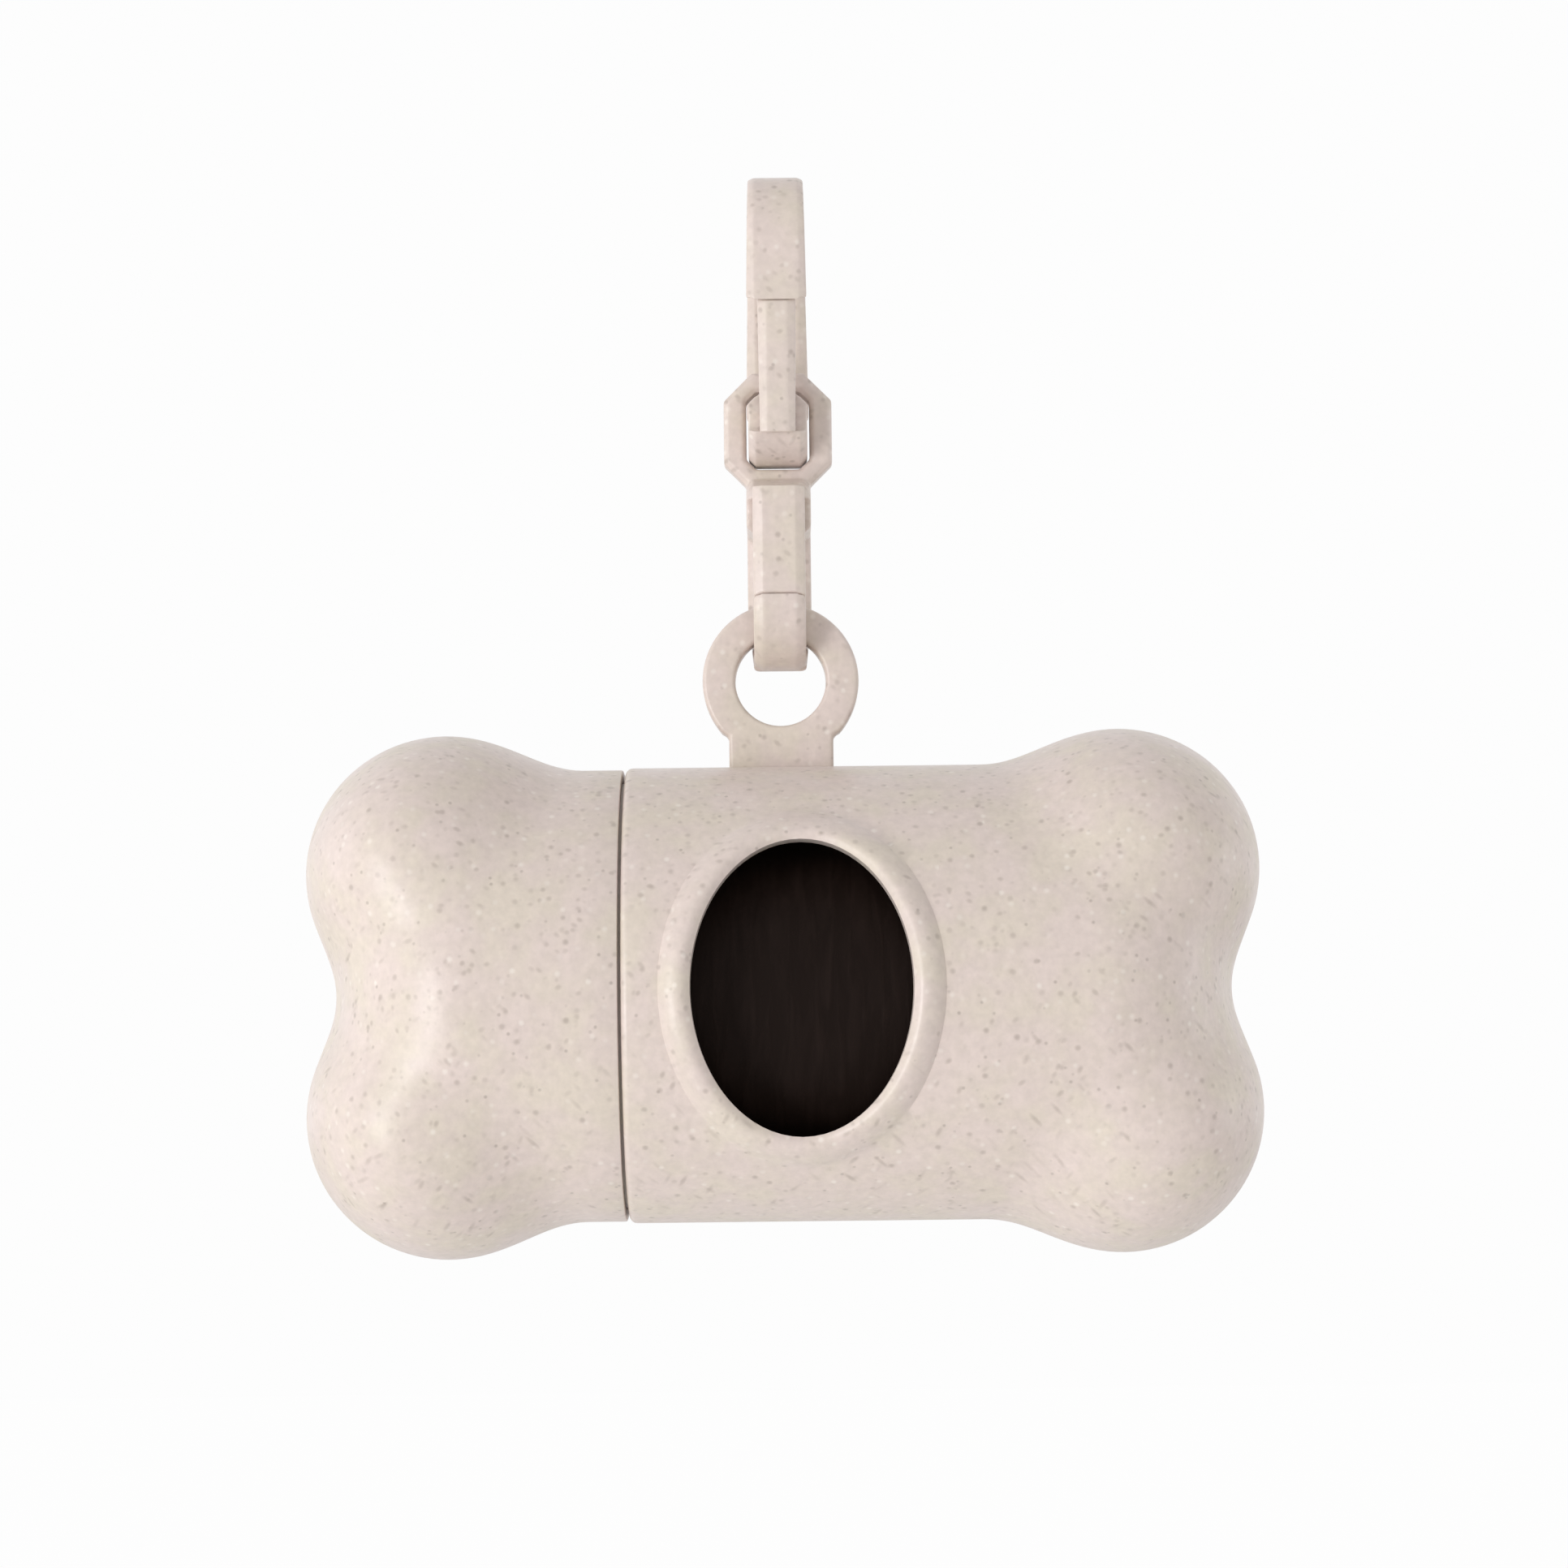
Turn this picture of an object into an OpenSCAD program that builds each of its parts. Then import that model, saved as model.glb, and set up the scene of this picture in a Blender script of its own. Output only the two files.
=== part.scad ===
// Bone-shaped holder for a roll of small bags, hung on a two-link plastic clip.
// Millimetres. X runs along the bone, -Y is the front with the window, Z is up.
// The origin is the centre of the upper hook's bend, where the holder hangs.

/* [Bone] */
// Length of the bone from end to end
bone_len = 83.8; // [80:0.1:92]
// Diameter of the round barrel between the lobes
barrel_d = 40; // [38:0.1:44]
// Radius of each lobe, seen from the front
lobe_r = 12.4; // [11:0.1:13.5]
// Distance between the centres of the two lobes of one end
lobe_spread = 21.2; // [19:0.1:24]
// Depth of a lobe from front to back
lobe_depth = 35.6; // [32:0.1:39]
// How far the front and back of a lobe lean towards the bone's end
lobe_lean = 2; // [0:0.1:3]
// How far the barrel stops short of the bone's end, between the lobes
barrel_inset = 5.2; // [4:0.1:7]
// Radius of the rounding where the barrel stops
end_round = 10.2; // [7:0.1:12]
// Softness of the saddle between the two lobes
lobe_blend = 8.2; // [5:0.1:10]
// Softness of the hollow between lobe and barrel
barrel_blend = 2.9; // [1:0.1:4]

/* [Shells] */
// Length of the cap, from the bone's end to the seam
cap_len = 28.2; // [25:0.1:31]
// Width of the seam between the cap and the housing
seam_gap = 0.25; // [0.15:0.05:0.6]
// Bevel on the housing's edge at the seam
seam_bevel = 0.6; // [0.2:0.1:1]
// How much smaller the cap's barrel is than the housing's, on the radius
cap_step = 0.15; // [0:0.05:0.4]
// Diameter of the chamber for the roll
chamber_d = 34; // [33.4:0.1:35]
// Radius of the chamber's closed corners
chamber_round = 4; // [3:0.1:5]
// Thickness of the bone's end wall in the saddle between the lobes
end_wall = 8.9; // [8:0.1:12]
// Length of the housing's neck inside the cap
neck_len = 9; // [6:0.1:11]
// Wall of the neck between its two raised bands
neck_wall = 1.3; // [1:0.05:1.5]
// Height of the neck's two raised bands, which the cap grips
band_h = 0.35; // [0.2:0.05:0.5]
// Width of each raised band
band_w = 1.6; // [1:0.1:2.5]
// Running clearance between the bands and the cap, on the radius
fit_gap = 0.08; // [0.05:0.01:0.1]

/* [Window] */
// Width of the oval window, along the bone
window_w = 18.8; // [16:0.1:22]
// Height of the oval window
window_h = 25.2; // [22:0.1:28]
// How far the window's centre lies from the bone's middle
window_x = 1.5; // [0:0.1:4]
// Width of the raised rim around the window
rim_w = 2.7; // [1.5:0.1:3.5]
// Height of the raised rim above the barrel
rim_h = 0.9; // [0.4:0.1:1.5]

/* [Ring] */
// Outer diameter of the flat ring on top of the housing
ring_d = 13.8; // [12.5:0.1:16]
// Diameter of the hole in the ring
ring_hole_d = 8; // [7.6:0.1:9]
// Thickness of the ring and its stem
ring_t = 3; // [2.4:0.1:3.4]
// Height of the ring's centre above the bone's axis
ring_rise = 27.6; // [26.5:0.1:30]
// Width of the stem below the ring
stem_w = 9.2; // [7:0.1:11]
// Bevel on the edges of the ring
ring_bevel = 0.5; // [0.2:0.05:0.7]

/* [Upper link] */
// Depth of the upper link from gate to spine
upper_depth = 12.4; // [11.5:0.1:14]
// Distance between the centres of its bend and its root
upper_len = 13.7; // [12.5:0.1:18]
// Width at the top of its bend
upper_w = 4.9; // [4:0.1:5.2]
// Width of its root
upper_root_w = 5.2; // [4.6:0.1:5.5]
// Width of its spine at the root, from where it narrows up to the bend
upper_spine_w = 5.6; // [5.2:0.1:6]
// Thickness of its bars
upper_bar_t = 2.5; // [2:0.1:2.8]
// Length of the nose below the bend's centre
upper_nose = 5.9; // [2:0.1:7]
// Width of its gate at the tip
upper_gate_tip_w = 3.5; // [3:0.1:4]
// Width of its gate at the root
upper_gate_root_w = 3.1; // [2.6:0.1:3.5]

/* [Lower link] */
// Depth of the lower link from gate to spine
lower_depth = 11.2; // [10.8:0.1:12.4]
// Distance between the centres of its root and its bend
lower_len = 5.9; // [5.2:0.1:9]
// Width of its nose and of the bottom of its bend
lower_w = 4.6; // [3.8:0.1:4.8]
// Width of its root
lower_root_w = 5.7; // [4.6:0.1:6.2]
// Width of its spine
lower_spine_w = 5.7; // [5.2:0.1:6.2]
// Thickness of its bars
lower_bar_t = 2.1; // [1.8:0.1:2.2]
// Length of the nose above the bend's centre
lower_nose = 0.8; // [0.6:0.1:1.8]
// Width of its gate
lower_gate_w = 4.6; // [3.6:0.1:4.8]

/* [Eye] */
// Thickness of the octagonal eye, from front to back
eye_t = 2.6; // [2:0.1:3]
// Width of the eye's upright bars
eye_side_w = 2; // [1.5:0.1:2.4]
// Height of the eye's top bar
eye_top_h = 1.7; // [1.4:0.1:2.2]
// Clearance above the upper link's root
eye_top_gap = 0.5; // [0.4:0.05:0.7]
// Clearance on each side of the upper link's root
eye_side_gap = 0.2; // [0.2:0.05:0.6]
// Clearance under the upper link's root
eye_bottom_gap = 0.25; // [0.2:0.05:0.6]
// Bevel of the eye's outer corners
eye_corner = 2.5; // [1.5:0.1:2.6]
// Bevel of the corners of the eye's hole
eye_hole_corner = 0.9; // [0.6:0.1:1.1]

/* [Gates] */
// Thickness of both gates
gate_t = 1.5; // [1.2:0.1:1.7]
// Radius of the round root that each gate bends on
knuckle_r = 1.1; // [0.9:0.05:1.3]
// Running clearance around the round root
knuckle_gap = 0.05; // [0.02:0.01:0.1]
// Gap between a gate's tip and its nose
tip_gap = 0.05; // [0.05:0.05:0.5]
// Slant of the cut between tip and nose, which lets the tip lie behind the nose
tip_slant = 35; // [20:1:36]
// How far a gate lies behind the front of its nose
gate_inset = 0.1; // [0:0.1:0.5]
// Thickness of the heel with which a gate's face runs on past its round root
heel_t = 0.8; // [0.5:0.1:1]
// Length of the upper gate's heel
upper_heel = 0.3; // [0.1:0.1:0.6]
// Length of the lower gate's heel
lower_heel = 1; // [0.1:0.1:1]
// Angle that each gate can be pressed in
gate_travel = 22; // [10:1:25]

/* [Roll] */
// Diameter of a full roll of bags
roll_d = 32; // [29:0.1:32.2]
// Length of the roll
roll_len = 58; // [50:0.5:58]
// Outer diameter of the cardboard core
core_d = 14; // [12:0.1:18]
// Wall of the cardboard core
core_wall = 0.8; // [0.6:0.1:1.5]
// Gap under the roll, between it and the chamber
roll_rest_gap = 0.3; // [0.2:0.05:0.5]

/* [Hidden] */

$fn = 64;
eps = 0.01;
plastic = "#D8CCC3";
plastic_light = "#DED3CB";
film = "#1E1714";
board = "#B59A78";

// how far a cut or a joined shape runs past the face that it meets
overlap = 1;
// bevel along the edges of the links' bars, across their faces and into their thickness
link_bevel = 0.85;
link_bevel_deep = 0.4;
// bevels on the edges of the links' roots and across them, and the least wall beside the eye
root_edge = 0.6;
root_bevel = 1;
thin_wall = 0.8;
// bevel on the edges of the eye, and how much narrower the rim's crest is, all round
eye_bevel = 0.25;
crest_inset = 0.7;
// room between the neck's tip and the raised band near it
band_setback = 0.8;
// running clearance between the links and the ring
ring_gap = 0.2;
// clearance between a pressed gate and the root behind it
wedge_gap = 0.25;

// heights below the hook's bend, from the top of the clip down to the bone
upper_root_r = upper_depth / 2;
pivot_z = -upper_len;
eye_hole_h = eye_top_gap + upper_root_r + eye_bottom_gap;
eye_hole_w = upper_root_w + 2 * eye_side_gap;
eye_hole_top = pivot_z + eye_top_gap;
eye_hole_bottom = eye_hole_top - eye_hole_h;
lower_root_r = lower_depth / 2;
lower_root_z = eye_hole_bottom - thin_wall - lower_root_r;
lower_bend_z = lower_root_z - lower_len;
// top of the lower bar where it leaves the faces of the ring
link_bar_top = lower_bend_z - sqrt(pow(lower_root_r - lower_bar_t, 2) - pow(ring_t / 2, 2));
// the hole clears both corners of the bar's bevel
hole_free_r = ring_hole_d / 2 - ring_gap;
ring_drop = min(
  sqrt(pow(hole_free_r, 2) - pow(lower_w / 2 - link_bevel, 2)),
  sqrt(pow(hole_free_r, 2) - pow(lower_w / 2, 2)) + link_bevel_deep
);
ring_z = link_bar_top - ring_drop;
axis_z = ring_z - ring_rise;

// sizes of the bone
half_len = bone_len / 2;
barrel_r = barrel_d / 2;
chamber_r = chamber_d / 2;
lobe_x = half_len - lobe_r;
lobe_z = lobe_spread / 2;
barrel_end = half_len - barrel_inset;
chamber_end = half_len - end_wall;
seam_x = cap_len - half_len;
neck_r = chamber_r + neck_wall;
band_r = neck_r + band_h;
socket_r = band_r + fit_gap;
socket_end = seam_x - neck_len - seam_gap;

// the lathe-like mesh of the bone: rays fan out from a point inside each end
fan_depth = 20;
fan_x = half_len - fan_depth;
fan_sides = 48;
fan_rings = 20;
fan_last = 104;
halvings = 15;

function soft_min(a, b, k) =
  let (h = max(k - abs(a - b), 0) / k) min(a, b) - h * h * k / 4;

// distance from a point to one lobe: an ellipsoid that leans outwards in depth
function lobe_gap(p, side) =
  let (
    depth = lobe_depth / 2,
    lean = lobe_lean * pow(p.y / depth, 2),
    q = [(p.x - lobe_x - lean) / lobe_r, p.y / depth, (p.z - side * lobe_z) / lobe_r],
    slope = [q.x / lobe_r, q.y / depth, q.z / lobe_r]
  )
  norm(q) * (norm(q) - 1) / max(norm(slope), eps * eps);

// distance from a point to the barrel with its rounded end
function barrel_gap(p, r) =
  let (
    dx = p.x - barrel_end + end_round,
    dr = norm([p.y, p.z]) - r + end_round
  )
  min(max(dx, dr), 0) + norm([max(dx, 0), max(dr, 0)]) - end_round;

function bone_gap(p, r) =
  soft_min(
    soft_min(lobe_gap(p, 1), lobe_gap(p, -1), lobe_blend),
    barrel_gap(p, r), barrel_blend
  );

// distance along a ray at which it leaves the bone
function leave(dir, r, near, far, left) =
  let (mid = (near + far) / 2)
  left == 0 ? mid
    : bone_gap([fan_x, 0, 0] + dir * mid, r) > 0
      ? leave(dir, r, near, mid, left - 1)
      : leave(dir, r, mid, far, left - 1);

function fan_dir(ring, side) =
  let (a = fan_last * ring / fan_rings, t = 360 * side / fan_sides)
  [cos(a), sin(a) * cos(t), sin(a) * sin(t)];

function fan_point(ring, side, r) =
  let (dir = fan_dir(ring, side))
  [fan_x, 0, 0] + dir * leave(dir, r, 1, half_len, halvings);

function round_point(x, r, side) =
  let (t = 360 * side / fan_sides) [x, r * cos(t), r * sin(t)];

// one end of the bone, from its tip at +x to a flat, bevelled cut at x = cut
module bone_end(cut, r, bevel) {
  sides = [0 : fan_sides - 1];
  points = concat(
    [fan_point(0, 0, r)],
    [for (ring = [1 : fan_rings]) for (side = sides) fan_point(ring, side, r)],
    [for (side = sides) round_point(cut + bevel, r, side)],
    [for (side = sides) round_point(cut, r - bevel, side)]
  );
  rows = fan_rings + 2;
  function at(row, side) = 1 + (row - 1) * fan_sides + side % fan_sides;
  faces = concat(
    [for (side = sides) [0, at(1, side + 1), at(1, side)]],
    [for (row = [1 : rows - 1]) for (side = sides)
      [at(row, side), at(row, side + 1), at(row + 1, side)]],
    [for (row = [1 : rows - 1]) for (side = sides)
      [at(row, side + 1), at(row + 1, side + 1), at(row + 1, side)]],
    [[for (side = sides) at(rows, side)]]
  );
  polyhedron(points, faces);
}

module at_bone() {
  translate([0, 0, axis_z]) children();
}

// a cylinder along X from x0 to x1
module rod_x(r, x0, x1) {
  translate([x0, 0, 0]) rotate([0, 90, 0]) cylinder(r = r, h = x1 - x0);
}

// half of the chamber: a round well that is closed, with a rounded corner, at +x
module chamber(x0) {
  rotate([0, 90, 0]) rotate_extrude() {
    translate([0, x0]) square([chamber_r, chamber_end - chamber_round - x0]);
    translate([0, x0]) square([chamber_r - chamber_round, chamber_end - x0]);
    translate([chamber_r - chamber_round, chamber_end - chamber_round])
      intersection() {
        circle(r = chamber_round);
        square(chamber_round);
      }
  }
}

function oval(w, h) =
  [for (i = [0 : fan_sides - 1])
    [w / 2 * cos(360 * i / fan_sides), h / 2 * sin(360 * i / fan_sides)]];

// where the oval's top and bottom leave the chamber, behind its front
window_back = sqrt(pow(chamber_r, 2) - pow(window_h / 2 + rim_w, 2)) - overlap;

// an oval prism forwards through the front wall, around the window's centre
module window_prism(grow) {
  translate([window_x, -window_back, 0]) rotate([90, 0, 0]) linear_extrude(barrel_r)
    polygon(oval(window_w + 2 * grow, window_h + 2 * grow));
}

// one step of the raised rim, rooted halfway through the wall
module rim_step(grow, height) {
  difference() {
    intersection() {
      window_prism(grow);
      rod_x(barrel_r + height, window_x - window_w, window_x + window_w);
    }
    rod_x((chamber_r + barrel_r) / 2, window_x - barrel_r, window_x + barrel_r);
  }
}

module window_rim() {
  rim_step(rim_w, rim_h / 2);
  rim_step(rim_w - crest_inset, rim_h);
}

// profile of a flat disc with bevelled edges, for turning about its axis
module disc_profile(r, t, bevel) {
  polygon([
    [0, -t / 2], [r - bevel, -t / 2], [r, -t / 2 + bevel],
    [r, t / 2 - bevel], [r - bevel, t / 2], [0, t / 2]
  ]);
}

module ring_and_stem() {
  foot = barrel_r - overlap;
  difference() {
    union() {
      translate([0, 0, ring_rise]) rotate([90, 0, 0]) rotate_extrude()
        disc_profile(ring_d / 2, ring_t, ring_bevel);
      translate([0, 0, foot]) linear_extrude(ring_rise - ring_hole_d / 2 + overlap - foot)
        bar_section(stem_w, ring_t, ring_bevel, ring_bevel);
    }
    translate([0, ring_t, ring_rise]) rotate([90, 0, 0])
      cylinder(d = ring_hole_d, h = 2 * ring_t);
  }
}

module neck() {
  tip = seam_x - neck_len;
  rod_x(neck_r, tip, seam_x + band_w);
  rod_x(band_r, seam_x - band_w, seam_x + band_w);
  rod_x(band_r, tip + band_setback, tip + band_setback + band_w);
}

module housing() {
  color(plastic) at_bone()
    difference() {
      union() {
        bone_end(seam_x, barrel_r, seam_bevel);
        window_rim();
        neck();
        ring_and_stem();
      }
      chamber(seam_x - neck_len - overlap);
      window_prism(0);
    }
}

module cap() {
  color(plastic_light) at_bone() mirror([1, 0, 0])
    difference() {
      bone_end(-seam_x + seam_gap, barrel_r - cap_step, eps);
      rod_x(socket_r, -seam_x - overlap, -socket_end);
      chamber(-socket_end - overlap);
    }
}

// centre of the roll, which lies at the bottom of its chamber
roll_z = axis_z - (chamber_r - roll_d / 2 - roll_rest_gap);

// a tube along X, centred on x = 0
module tube_x(outer_r, inner_r, length) {
  difference() {
    rod_x(outer_r, -length / 2, length / 2);
    rod_x(inner_r, -length / 2 - overlap, length / 2 + overlap);
  }
}

module bag_roll() {
  color(film) translate([0, 0, roll_z])
    tube_x(roll_d / 2, core_d / 2 + eps, roll_len);
}

module roll_core() {
  color(board) translate([0, 0, roll_z])
    tube_x(core_d / 2, core_d / 2 - core_wall, roll_len);
}

// a bar's section, w across and t thick, with corners bevelled across and deep
module bar_section(w, t, across, deep) {
  polygon([
    [-w / 2 + across, -t / 2], [w / 2 - across, -t / 2], [w / 2, -t / 2 + deep],
    [w / 2, t / 2 - deep], [w / 2 - across, t / 2], [-w / 2 + across, t / 2],
    [-w / 2, t / 2 - deep], [-w / 2, -t / 2 + deep]
  ]);
}

// turns a shape drawn with x as depth, y as height and z as width upright
module side_on() {
  rotate([90, 0, 90]) children();
}

// a section of a link's bar
module link_section(w, t) {
  bar_section(w, t, link_bevel, link_bevel_deep);
}

// a quarter turn of bar around the bend's centre, up from the back or down to the front
module bend(depth, w, t, from) {
  side_on() rotate([0, 0, from]) rotate_extrude(angle = 90)
    translate([(depth - t) / 2, 0]) rotate(90) link_section(w, t);
}

// the solid half disc at the closed end, flat side up, its long edges bevelled
module root_disc(r, w) {
  difference() {
    side_on() rotate([0, 0, 180]) rotate_extrude(angle = 180)
      disc_profile(r, w, root_edge);
    for (side = [-1, 1])
      translate([side * w / 2, 0, 0]) rotate([0, 45, 0])
        cube([sqrt(2) * root_bevel, 2 * r, sqrt(2) * root_bevel], center = true);
  }
}

// an upright bar of the given length below the bend's centre, at the front or the back
module upright(y, w, t, length) {
  translate([0, y, -length]) linear_extrude(length + eps) link_section(w, t);
}

// narrows a hook, seen from the front, from a height below its bend up to the bend's top
module narrowed(w, top_w, top, from, foot) {
  intersection() {
    children();
    rotate([90, 0, 0]) translate([0, 0, -2 * top]) linear_extrude(4 * top)
      polygon([
        [-w / 2, -foot], [w / 2, -foot], [w / 2, -from],
        [top_w / 2, top], [-top_w / 2, top], [-w / 2, -from]
      ]);
  }
}

// half-space below the slanted cut, which rises inwards from a height at the front
module below_slant(depth, height) {
  rise = depth * tan(tip_slant);
  translate([-depth, 0, 0]) side_on() linear_extrude(2 * depth)
    polygon([
      [-depth / 2 - depth, height - rise - depth], [-depth / 2 + depth, height - rise - depth],
      [-depth / 2 + depth, height + rise], [-depth / 2 - depth, height - rise]
    ]);
}

// centre of a gate's round root, measured from the centre of the root disc
function knuckle_y(depth) = -depth / 2 + gate_inset + knuckle_r;
function knuckle_z(depth) = -depth / 5;

// room for a gate at its root and as far as it can be pressed in
module gate_room(depth, w) {
  y = knuckle_y(depth);
  z = knuckle_z(depth);
  back = y - knuckle_r + gate_t + wedge_gap;
  up = overlap - z;
  translate([-w, 0, 0]) side_on() linear_extrude(2 * w) {
    translate([y, z]) circle(r = knuckle_r + knuckle_gap);
    polygon([
      [-depth, z], [y, z], [back, z],
      [back + up * tan(gate_travel) + wedge_gap, z + up + wedge_gap],
      [-depth, z + up + wedge_gap]
    ]);
  }
}

// a snap hook without its gate: bend at the top, root disc at the bottom
module hook(depth, length, top_w, front_w, root_w, spine_w, t, nose_len, narrow_from) {
  foot = length + root_bevel;
  narrowed(spine_w, top_w, depth / 2, narrow_from, foot) {
    bend(depth, spine_w, t, 0);
    upright((depth - t) / 2, spine_w, t, foot);
    difference() {
      union() {
        bend(depth, front_w, t, 90);
        upright(-(depth - t) / 2, front_w, t, nose_len);
      }
      below_slant(depth, -nose_len);
    }
  }
  translate([0, 0, -length])
    difference() {
      root_disc(depth / 2, root_w);
      gate_room(depth, root_w);
    }
}

// a tongue that stands on its round root and closes the hook, tip upwards
module gate(depth, length, tip_w, root_w, nose_len, heel) {
  y = knuckle_y(depth);
  z = knuckle_z(depth) - length;
  tip = -nose_len - tip_gap;
  front = y - knuckle_r;
  foot = z - knuckle_r - heel;
  intersection() {
    translate([-tip_w, 0, 0]) side_on() linear_extrude(2 * tip_w) {
      translate([y, z]) circle(r = knuckle_r);
      polygon([
        [front, z], [front + gate_t, z],
        [front + gate_t, tip + gate_t * tan(tip_slant)], [front, tip]
      ]);
      translate([front, foot]) square([heel_t, z - foot]);
    }
    rotate([90, 0, 0]) translate([0, 0, -depth]) linear_extrude(2 * depth)
      polygon([
        [-root_w / 2, foot - overlap], [root_w / 2, foot - overlap],
        [tip_w / 2, 0], [-tip_w / 2, 0]
      ]);
    translate([0, front + depth / 2, foot - overlap]) linear_extrude(depth - foot)
      link_section(tip_w, depth);
  }
}

module upper_link() {
  color(plastic_light)
    hook(
      upper_depth, upper_len, upper_w, upper_spine_w, upper_root_w, upper_spine_w,
      upper_bar_t, upper_nose, upper_len
    );
}

module upper_gate() {
  color(plastic)
    gate(
      upper_depth, upper_len, upper_gate_tip_w, upper_gate_root_w, upper_nose, upper_heel
    );
}

// outline of a rectangle with bevelled corners, from bottom to top
module octagon(w, bottom, top, corner) {
  polygon([
    [-w / 2 + corner, bottom], [w / 2 - corner, bottom], [w / 2, bottom + corner],
    [w / 2, top - corner], [w / 2 - corner, top], [-w / 2 + corner, top],
    [-w / 2, top - corner], [-w / 2, bottom + corner]
  ]);
}

// one slice of the eye, trimmed all round, and half as much above the root
module eye_slice(t, trim) {
  translate([0, t / 2, 0]) rotate([90, 0, 0]) linear_extrude(t)
    difference() {
      octagon(
        eye_hole_w + 2 * (eye_side_w - trim), eye_hole_bottom - eye_side_w + trim,
        eye_hole_top + eye_top_h - trim, eye_corner
      );
      octagon(
        eye_hole_w + 2 * trim, eye_hole_bottom - trim / 2,
        eye_hole_top + trim, eye_hole_corner
      );
    }
}

module eye() {
  eye_slice(eye_t, eye_bevel);
  eye_slice(eye_t - 2 * eye_bevel, 0);
}

// the lower hook is the upper one turned over, with its root at the top
module turned_over() {
  translate([0, 0, lower_bend_z]) mirror([0, 0, 1]) children();
}

module lower_link() {
  color(plastic) {
    difference() {
      turned_over()
        hook(
          lower_depth, lower_len, lower_w, lower_w, lower_root_w, lower_spine_w,
          lower_bar_t, lower_nose, 0
        );
      translate([0, lower_depth, 0]) rotate([90, 0, 0]) linear_extrude(2 * lower_depth)
        octagon(eye_hole_w, eye_hole_bottom, eye_hole_top, eye_hole_corner);
    }
    eye();
  }
}

module lower_gate() {
  color(plastic_light) turned_over()
    gate(lower_depth, lower_len, lower_gate_w, lower_gate_w, lower_nose, lower_heel);
}

housing();
cap();
bag_roll();
roll_core();
lower_link();
lower_gate();
upper_link();
upper_gate();
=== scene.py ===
"""Looks of a bone-shaped holder for a roll of small bags, hung on a two-link plastic clip.

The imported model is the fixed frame. Each class below models one sub-assembly in
millimetres, measured from its own centre, and moves the mesh to its place in the frame in
metres. main() then dresses every piece in one of the finishes.
"""

import logging
import math
from collections.abc import Callable, Iterable
from dataclasses import dataclass, field
from enum import Enum

import bmesh
import bpy
from mathutils import Matrix, Vector, noise


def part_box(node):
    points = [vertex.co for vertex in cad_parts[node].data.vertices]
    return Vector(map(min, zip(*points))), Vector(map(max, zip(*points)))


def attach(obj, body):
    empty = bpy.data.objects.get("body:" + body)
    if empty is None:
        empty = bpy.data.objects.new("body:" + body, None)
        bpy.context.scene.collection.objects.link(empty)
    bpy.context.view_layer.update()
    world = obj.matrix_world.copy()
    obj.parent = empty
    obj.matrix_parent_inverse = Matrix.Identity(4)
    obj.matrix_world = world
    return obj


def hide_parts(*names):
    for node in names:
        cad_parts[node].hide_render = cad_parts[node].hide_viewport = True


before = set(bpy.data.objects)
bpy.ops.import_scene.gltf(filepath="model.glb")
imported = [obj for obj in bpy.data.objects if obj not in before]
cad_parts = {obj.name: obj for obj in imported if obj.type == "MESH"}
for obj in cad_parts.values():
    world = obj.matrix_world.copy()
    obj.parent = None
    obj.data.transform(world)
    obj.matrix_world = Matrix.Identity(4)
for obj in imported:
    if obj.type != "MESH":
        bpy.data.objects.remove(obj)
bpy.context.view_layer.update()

MM = 0.001
MERGE = 0.001  # mm within which two vertices are one
QUARTER = math.pi / 2
log = logging.getLogger("bag_holder")


class Body(Enum):
    """The moving bodies that pieces ride on."""

    UPPER_LINK = "upper_link"
    UPPER_GATE = "upper_gate"
    LOWER_LINK = "lower_link"
    LOWER_GATE = "lower_gate"
    HOUSING = "housing"
    CAP = "cap"
    ROLL = "roll"


class Slot(Enum):
    """The record's material slots."""

    PLASTIC = "straw_plastic"
    FILM = "bag_film"
    BOARD = "core_board"


# ---------------------------------------------------------------- finishes


def linear(code: str) -> tuple[float, float, float, float]:
    """Turns an sRGB hex colour into the linear values that a shader wants.

    Args:
        code: The colour as "#RRGGBB".

    Returns:
        Linear red, green and blue, and an alpha of 1.
    """
    parts = [int(code[i : i + 2], 16) / 255 for i in (1, 3, 5)]
    values = [c / 12.92 if c <= 0.04045 else ((c + 0.055) / 1.055) ** 2.4 for c in parts]
    return values[0], values[1], values[2], 1.0


def add_node(
    tree: bpy.types.NodeTree, kind: str, inputs: dict | None = None, **settings: object
) -> bpy.types.Node:
    """Adds a node, with its settings and what its sockets hold or are linked to.

    Args:
        tree: The node tree it goes into.
        kind: The node's type, such as "ShaderNodeTexNoise".
        inputs: Socket name or index, and the value or output socket that it takes.
        **settings: The node's own properties.

    Returns:
        The new node.
    """
    made = tree.nodes.new(kind)
    for name, value in settings.items():
        setattr(made, name, value)
    for key, value in (inputs or {}).items():
        if isinstance(value, bpy.types.NodeSocket):
            tree.links.new(value, made.inputs[key])
        else:
            made.inputs[key].default_value = value
    return made


def blank_material(name: str) -> tuple[bpy.types.Material, bpy.types.NodeTree]:
    """Makes a material with an empty node tree."""
    material = bpy.data.materials.new(name)
    material.use_nodes = True
    material.node_tree.nodes.clear()
    return material, material.node_tree


@dataclass(frozen=True)
class Fleck:
    """One kind of fleck in a plastic. A room longer one way draws its fleck out into a fibre."""

    room: tuple[float, float, float]  # mm that each fleck has to itself
    radius: float  # share of the room that it fills
    turned: tuple[float, float, float]  # degrees that the rooms are turned
    sparse: float  # share of the rooms that stay empty
    strength: float
    colour: str


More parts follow.
